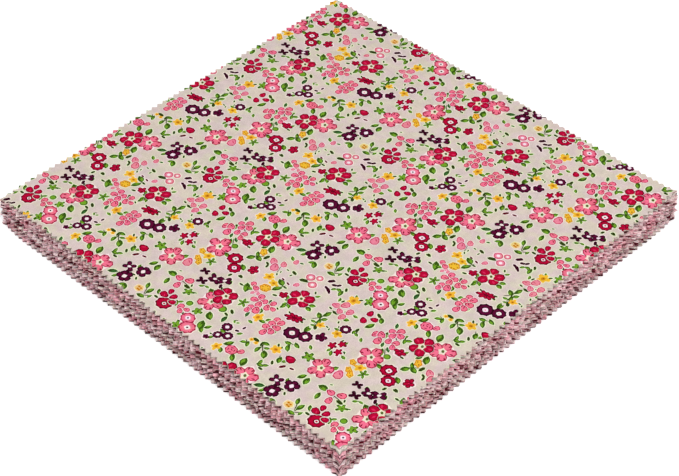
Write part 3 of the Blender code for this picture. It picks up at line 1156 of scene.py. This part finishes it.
def plain_square(square, chance):
    """One thin square of the pile: pinked outline, two straight rings and a flat middle."""
    sides, depths = uneven_sides(square, chance)
    tips = tips_of(square, chance)
    rings = [flat_ring(sides)] + [flat_ring(sides, depth) for depth in RING_DEPTHS]
    placed = [pulled(onto_tips(ring, tips), square) for ring in rings]
    flat = np.concatenate(placed)
    low = np.concatenate([undersides(ring, square) for ring in placed])
    points = np.concatenate([np.column_stack([flat, low]), np.column_stack([flat, low + CLOTH])])
    faces, cut_faces = ringed_faces(len(rings), len(rings[0]))
    kinds = [0] * len(faces) + [1] * len(cut_faces)
    cloth = NODE_CLOTHS[square // SQUARES_PER_NODE][square % SQUARES_PER_NODE]
    materials = [cloth_material(cloth, False), cloth_material(cloth, True)]
    piece = mesh_object(f"square_{square + 1:02d}", points, faces + cut_faces, materials, kinds)
    notched = np.zeros(len(flat))
    notched[: len(depths)] = np.clip(depths / TOOTH_DEPTH, 0, 1)
    mark(piece, "layer", BUNDLE_OF[square] + SQUARE_STEP * (square % SQUARE_STEPS))
    mark(piece, "run", RUN_OF[square])
    # The lean paints shade into the notches of a bundle's lowest squares and light onto its uppermost one.
    mark(piece, "lean", np.tile(painted_light_and_shade_of(square, notched), 2))
    # The shade is painted contact shade on the two lowest squares, with a tone that differs at random from
    # square to square.
    mark(piece, "shade", painted_floor_shade_of(square) + chance.gauss(0, SHADE_SPREAD))
    return piece, cloth


def renumbered(loops):
    """The points that the loops use, in order, and the loops with the new numbers of these."""
    used = sorted({corner for loop in loops for corner in loop})
    number_of = {old: new for new, old in enumerate(used)}
    return used, [[number_of[corner] for corner in loop] for loop in loops]


def open_rim(faces):
    """The longest closed loop of edges that only one face uses, in those faces' direction."""
    single = set()
    for face in faces:
        for edge in zip(face, face[1:] + face[:1]):
            if edge[::-1] in single:
                single.remove(edge[::-1])
            else:
                single.add(edge)
    following = dict(sorted(single))
    longest = []
    while following:
        here = min(following)
        loop = []
        while here in following:
            loop.append(here)
            here = following.pop(here)
        longest = max(longest, loop, key=len)
    return longest


def grid_points(every=1):
    """Points of a square grid, thinned where the cloth lies flat."""
    steps = int(SIDE / TOP_GRID / 2)
    points = []
    for i in range(-steps, steps + 1, every):
        for j in range(-steps, steps + 1, every):
            inside = SIDE / 2 - max(abs(i), abs(j)) * TOP_GRID
            if inside < COARSE_FROM_EDGE or i % 2 == j % 2 == 0:
                points.append(Vector((i * TOP_GRID, j * TOP_GRID)))
    return points


def ink_lines(faces, inks):
    """The lines where the ink changes, and those round the whole print, as pairs of points."""
    seen = {}
    lines = set()
    for face, ink in zip(faces, inks):
        for here, after in zip(face, face[1:] + face[:1]):
            line = (min(here, after), max(here, after))
            other = seen.pop(line, False)
            if other is False:
                seen[line] = ink
            elif other != ink:
                lines.add(line)
    lines.update(line for line, ink in seen.items() if ink)
    return sorted(lines)


def printed_faces(outline):
    """Points and triangles of the printed face, all inside the pinked outline, and their inks.

    The motifs overlap, so they are first cut into each other. Only the lines where the ink
    changes are kept, and the face is cut again along them.
    """
    points = [Vector(point) for point in outline.tolist()]
    shapes = [list(range(len(points)))]
    inks = ["ground"]
    for ink, shape in printed_outlines(SIDE / 2 + PRINT_MARGIN):
        shapes.append(list(range(len(points), len(points) + len(shape))))
        points += [Vector(point) for point in shape]
        inks.append(ink)
    places, _, faces, _, _, owners = delaunay_2d_cdt(points, [], shapes, 0, WELD, True)
    owned = [inks[max(owner)] if 0 in owner else None for owner in owners]
    corners, lines = renumbered(ink_lines(faces, owned))
    kept_points = [places[corner] for corner in corners] + grid_points()
    finer, _, triangles, _, _, _ = delaunay_2d_cdt(kept_points, lines, [], 0, FINAL_WELD, True)
    tree = BVHTree.FromPolygons([(place.x, place.y, 0) for place in places], faces)
    down = Vector((0, 0, -1))
    found, found_inks = [], []
    for triangle in triangles:
        middle = (finer[triangle[0]] + finer[triangle[1]] + finer[triangle[2]]) / 3
        hit = tree.ray_cast(Vector((middle.x, middle.y, 1)), down)[2]
        if hit is not None and owned[hit]:
            found.append(triangle)
            found_inks.append(owned[hit])
    used, numbered = renumbered(found)
    return np.array([finer[old] for old in used]), numbered, found_inks


def plain_faces(rim):
    """Points and triangles of the face inside a rim, and the number of each rim point in it."""
    points = [Vector(point) for point in rim.tolist()] + grid_points(2)
    outline = list(range(len(rim)))
    places, _, faces, sources, _, owners = delaunay_2d_cdt(points, [], [outline], 0, PLAIN_WELD, True)
    number_of = {old: new for new, olds in enumerate(sources) for old in olds}
    triangles = [face for face, owner in zip(faces, owners) if 0 in owner]
    return np.array([place[:] for place in places]), triangles, [number_of[old] for old in outline]


def dye(piece, inks):
    """Colour a piece's first triangles in their inks."""
    shades = np.ones((len(piece.data.loops), 4), np.float32)
    shades[: 3 * len(inks), :3] = np.repeat([INKS[ink] for ink in inks], 3, axis=0) / 255
    colours = piece.data.color_attributes.new("print", "BYTE_COLOR", "CORNER")
    colours.data.foreach_set("color_srgb", shades.ravel())


def top_square(chance):
    """The printed square on top, its motifs cut into the mesh of its upper face."""
    square = SQUARES - 1
    sides = [pinked_side(0.0, chance, TOP_TOOTH_WEAR) for _ in range(4)]
    outline = tucked(pulled(onto_tips(flat_ring(sides), tips_of(square, chance)), square))
    middle = (NODE_TIPS[-1].min(axis=0) + NODE_TIPS[-1].max(axis=0)) / 2
    flat, faces, inks = printed_faces(outline - middle)
    flat = flat + middle
    rim = open_rim(faces)
    low_flat, low_triangles, low_rim = plain_faces(flat[rim] - middle)
    low_flat = low_flat + middle
    upper = np.column_stack([flat, undersides(flat, square) + CLOTH + ripple(flat)])
    lower = np.column_stack([low_flat, undersides(low_flat, square) + ripple(low_flat)])
    count = len(flat)
    low_faces = [[count + corner for corner in reversed(face)] for face in low_triangles]
    pairs = list(zip(rim, low_rim))
    cut_faces = []
    for (here, low_here), (after, low_after) in zip(pairs, pairs[1:] + pairs[:1]):
        cut_faces.append([count + low_here, count + low_after, after, here])
    kinds = [0] * len(faces) + [1] * len(low_faces) + [2] * len(cut_faces)
    cloth = NODE_CLOTHS[-1][-1]
    materials = [printed_material(cloth), cloth_material(cloth, False), cloth_material(cloth, True)]
    points = np.concatenate([upper, lower])
    piece = mesh_object(f"square_{SQUARES}", points, faces + low_faces + cut_faces, materials, kinds)
    dye(piece, inks)
    mark(piece, "layer", BUNDLE_OF[square])
    mark(piece, "run", RUN_OF[square])
    mark(piece, "shade", 1.0)
    return piece, cloth


# Materials
def linear(rgb):
    """A colour from 0 to 255 as the scene's linear colour, with full opacity."""
    shade = Color([channel / 255 for channel in rgb]).from_srgb_to_scene_linear()
    return (*shade, 1.0)


def connect(tree, node, values):
    """Set or link a node's inputs."""
    for name, value in values.items():
        if isinstance(value, bpy.types.NodeSocket):
            tree.links.new(value, node.inputs[name])
        else:
            node.inputs[name].default_value = value


def add(tree, kind, values=None, **settings):
    """A node with its settings, and its inputs set or linked."""
    node = tree.nodes.new(kind)
    for name, value in settings.items():
        setattr(node, name, value)
    connect(tree, node, values or {})
    return node


def maths(tree, operation, first, second):
    """Two values added or multiplied."""
    return add(tree, "ShaderNodeMath", {0: first, 1: second}, operation=operation).outputs[0]


def mixed(tree, share, first, second, blend="MIX"):
    """The colour that comes from mixing two."""
    values = {MIX_SHARE: share, MIX_FIRST: first, MIX_SECOND: second}
    node = add(tree, "ShaderNodeMix", values, data_type="RGBA", blend_type=blend)
    return node.outputs[MIX_RESULT]


def marked(tree, name, output="Fac"):
    """What is written on the mesh under a name."""
    return add(tree, "ShaderNodeAttribute", attribute_name=name).outputs[output]


def object_place(tree):
    """Coordinates in metres."""
    return add(tree, "ShaderNodeTexCoord").outputs["Object"]


def noise(tree, where, scale, detail, rough):
    """Noise from 0 to 1."""
    values = {"Vector": where, "Scale": scale, "Detail": detail, "Roughness": rough}
    return add(tree, "ShaderNodeTexNoise", values).outputs["Fac"]


def ranged(tree, value, low, high, to_low, to_high):
    """A value carried from one range to another, smoothly at both ends."""
    values = {"Value": value, "From Min": low, "From Max": high, "To Min": to_low, "To Max": to_high}
    return add(tree, "ShaderNodeMapRange", values, interpolation_type="SMOOTHSTEP").outputs["Result"]


def pattern(tree, where, kind):
    """A noise with a part of it carried to a range of its own."""
    spots = noise(tree, where, kind.scale, kind.detail, kind.rough)
    return ranged(tree, spots, kind.low, kind.high, kind.to_low, kind.to_high)


def shaded(tree, colour, level):
    """A colour made darker or lighter by a level."""
    grey = add(tree, "ShaderNodeCombineColor", {"Red": level, "Green": level, "Blue": level})
    return mixed(tree, 1.0, colour, grey.outputs["Color"], "MULTIPLY")


def weave(tree, where):
    """Height of a plain weave: two sets of threads, each a little uneven."""
    values = {"Vector": where, "Scale": WAVE_TURN / THREAD_PITCH_M, **THREAD_UNEVENNESS}
    threads = []
    for direction in ("X", "Y"):
        threads.append(add(tree, "ShaderNodeTexWave", values, bands_direction=direction).outputs["Fac"])
    return maths(tree, "MULTIPLY", *threads)


def bumped(tree, height, bump):
    """The normal of a surface with a fine relief."""
    values = {"Height": height, "Strength": bump.strength, "Distance": bump.distance}
    return add(tree, "ShaderNodeBump", values).outputs["Normal"]


def own_place(tree, name, step):
    """Coordinates in metres, moved on by what is written on the mesh: a pattern for each layer."""
    lift = maths(tree, "MULTIPLY", marked(tree, name), step)
    move = add(tree, "ShaderNodeCombineXYZ", {"Z": lift}).outputs["Vector"]
    values = {0: object_place(tree), 1: move}
    return add(tree, "ShaderNodeVectorMath", values, operation="ADD").outputs["Vector"]


def new_material(name, values):
    """A material with its shader's constants set, and its node tree and shader."""
    material = bpy.data.materials.new(name)
    material.use_nodes = True
    shader = material.node_tree.nodes["Principled BSDF"]
    connect(material.node_tree, shader, values)
    return material, material.node_tree, shader


def cloth_material(slot, cut):
    """The cloth of the plain squares: its dyed face, or its raw cut edge."""
    name = slot + ("_cut_edge" if cut else "_face")
    found = bpy.data.materials.get(name)
    if found:
        return found
    cloth = CLOTHS[slot]
    material, tree, shader = new_material(name, COTTON)
    where = own_place(tree, "layer", LAYER_STEP_M)
    streaks = noise(tree, own_place(tree, "run", RUN_STEP_M), *STREAKS)
    # The lean adds painted shade in the notches of a bundle's lowest squares and painted light on its
    # uppermost one, through the dark and light colours below.
    streaks = maths(tree, "ADD", streaks, marked(tree, "lean"))
    colour = linear(cloth.edge if cut else cloth.face)
    for levels, ink in ((DARK_LEVELS, cloth.dark), (LIGHT_LEVELS, cloth.light)):
        colour = mixed(tree, ranged(tree, streaks, *levels), colour, linear(ink))
    for kind, cast in ((ROSY, ROSY_CAST), (MOSSY, MOSSY_CAST)):
        colour = mixed(tree, pattern(tree, where, kind), colour, cast, "MULTIPLY")
    level = pattern(tree, where, SPECKLE)
    if cut:
        # The shade darkens the lowest squares' edges as painted contact shade, and varies each square's
        # tone at random.
        level = maths(tree, "MULTIPLY", level, marked(tree, "shade"))
        relief = bumped(tree, noise(tree, where, *FIBRES), CUT_BUMP)
    else:
        relief = bumped(tree, weave(tree, where), FACE_BUMP)
    connect(tree, shader, {"Base Color": shaded(tree, colour, level), "Normal": relief})
    return material


def printed_material(slot):
    """The printed face: the dyes of its mesh, mottled ground, woven threads."""
    material, tree, shader = new_material(slot + "_print", COTTON)
    where = object_place(tree)
    colour = marked(tree, "print", "Color")
    for kind, casts in ((WARM, WARM_CASTS), (COOL, COOL_CASTS)):
        cast = mixed(tree, pattern(tree, where, kind), *casts)
        colour = mixed(tree, 1.0, colour, cast, "MULTIPLY")
    for kind in (CLOUDS, GRAIN):
        colour = shaded(tree, colour, pattern(tree, where, kind))
    threads = weave(tree, where)
    colour = shaded(tree, colour, ranged(tree, threads, *THREAD_SHADES))
    rough = ranged(tree, threads, *THREAD_ROUGHNESS)
    relief = bumped(tree, threads, PRINT_BUMP)
    connect(tree, shader, {"Base Color": colour, "Roughness": rough, "Normal": relief})
    return material


# Camera, floor and light
def facing(direction):
    """The turn of a camera or a lamp that looks along a direction."""
    return direction.to_track_quat("-Z", "Y").to_euler()


def place_camera():
    """The photograph's view, measured from the middle of the top square's upper face."""
    low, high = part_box(NODES[-1])
    middle = Vector(((low.x + high.x) / 2, (low.y + high.y) / 2, high.z))
    azimuth, elevation = math.radians(AZIMUTH), math.radians(ELEVATION)
    level = math.cos(elevation)
    towards = Vector((math.sin(azimuth) * level, -math.cos(azimuth) * level, math.sin(elevation)))
    right = (-towards).cross(Vector((0, 0, 1))).normalized()
    up = right.cross(-towards)
    aim = middle + CAMERA_AIM_RIGHT_M * right + CAMERA_AIM_UP_M * up
    camera = new_object("camera", bpy.data.cameras.new("camera"))
    camera.data.lens = LENS
    camera.data.sensor_width = SENSOR
    camera.location = middle + CAMERA_FROM_TOP_M
    camera.rotation_euler = facing(aim - camera.location)
    bpy.context.scene.camera = camera


def lay_floor():
    """A plain white floor, bright enough to read as paper white."""
    half = FLOOR_SIZE_M / 2
    corners = [(sign_x * half, sign_y * half, 0) for sign_x, sign_y in CORNER_SIGNS.tolist()]
    mesh = bpy.data.meshes.new("floor")
    mesh.from_pydata(corners, [], [(0, 1, 2, 3)])
    mesh.materials.append(new_material("floor_paper", FLOOR)[0])
    floor = new_object("floor", mesh)
    floor.location.z = -FLOOR_DROP_M
    floor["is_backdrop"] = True


def hang_lights():
    """Soft light from above and a little from the front, in a white studio."""
    for box in SOFTBOXES:
        lamp = bpy.data.lights.new(box.name, "AREA")
        lamp.shape = "DISK"
        lamp.size = box.size
        lamp.energy = box.power
        holder = new_object(box.name, lamp)
        holder.location = box.place
        holder.rotation_euler = facing(-Vector(box.place))
    world = bpy.data.worlds.new("studio")
    world.use_nodes = True
    backdrop = {"Color": (1, 1, 1, 1), "Strength": WORLD_STRENGTH}
    connect(world.node_tree, world.node_tree.nodes["Background"], backdrop)
    bpy.context.scene.world = world


def declare(piece, square, cloth):
    """Ride for one square: it goes with the root body, and the node of the part that it stands in for is
    hidden.
    """
    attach(piece, "root")
    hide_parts(NODES[square // SQUARES_PER_NODE])


def main():
    bpy.context.scene.view_settings.view_transform = "Standard"
    place_camera()
    hang_lights()
    lay_floor()
    chance = random.Random(PILE_SEED)
    for square in range(SQUARES):
        top = square == SQUARES - 1
        piece, cloth = top_square(chance) if top else plain_square(square, chance)
        declare(piece, square, cloth)


main()
boxes = {"cad": cad_box, "visual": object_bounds()}
{name: [list(corner) for corner in box] for name, box in boxes.items()}
